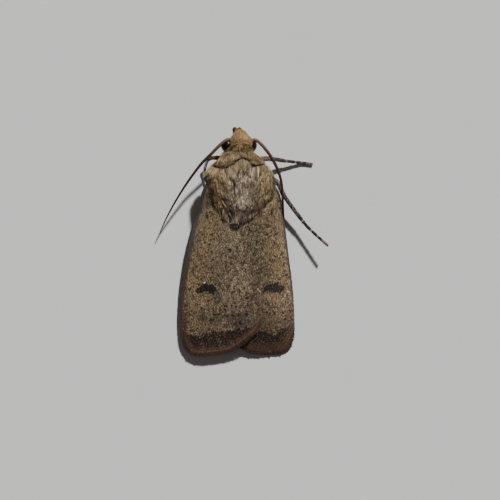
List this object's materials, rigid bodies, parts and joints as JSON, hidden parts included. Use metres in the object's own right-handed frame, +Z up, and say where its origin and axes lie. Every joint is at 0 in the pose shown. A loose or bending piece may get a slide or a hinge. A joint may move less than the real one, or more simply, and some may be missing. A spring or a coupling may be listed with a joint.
{
  "type": "resting moth model",
  "caption": "Life-size still model of a resting owlet moth: furry head and thorax, brown wings folded flat over the back, banded legs and swept-back antennae.",
  "frame": {"origin": "on the surface that the moth rests on, under the middle of its outline", "axes": "+Y from the head towards the wing tips, +Z up from the surface, +X towards the moth's left side"},
  "size_m": [0.0163, 0.0218, 0.0052],
  "materials": {
    "coat_front": "matt ochre hair-scales",
    "coat_thorax": "matt grey-brown hair-scales",
    "coat_abdomen": "matt pale grey-brown scales",
    "forewing": "matt brown wing scales with dark marks and red-brown border",
    "hindwing": "thin pale grey-brown scales, slight sheen",
    "eye": "glossy black-brown",
    "antenna": "dull dark brown",
    "leg": "dark scales with pale bands",
    "palp": "matt grey-brown hair-scales"
  },
  "bodies": {
    "root": {"head": "coat_front", "collar": "coat_front", "thorax": "coat_thorax", "tegula_left": "coat_thorax", "tegula_right": "coat_thorax", "abdomen_1": "coat_abdomen", "abdomen_2": "coat_abdomen", "abdomen_3": "coat_abdomen", "abdomen_4": "coat_abdomen", "eye_left": "eye", "palp_left": "palp", "antenna_left_1": "antenna", "antenna_left_2": "antenna", "antenna_left_3": "antenna", "antenna_left_4": "antenna", "forewing_left": "forewing", "hindwing_left": "hindwing", "foreleg_left_femur": "leg", "foreleg_left_tibia": "leg", "foreleg_left_tarsus": "leg", "midleg_left_femur": "leg", "midleg_left_tibia": "leg", "midleg_left_tarsus": "leg", "hindleg_left_femur": "leg", "hindleg_left_tibia": "leg", "hindleg_left_tarsus": "leg", "eye_right": "eye", "palp_right": "palp", "antenna_right_1": "antenna", "antenna_right_2": "antenna", "antenna_right_3": "antenna", "antenna_right_4": "antenna", "forewing_right": "forewing", "hindwing_right": "hindwing", "foreleg_right_femur": "leg", "foreleg_right_tibia": "leg", "foreleg_right_tarsus": "leg", "midleg_right_femur": "leg", "midleg_right_tibia": "leg", "midleg_right_tarsus": "leg", "hindleg_right_femur": "leg", "hindleg_right_tibia": "leg", "hindleg_right_tarsus": "leg"}
  },
  "joints": []
}
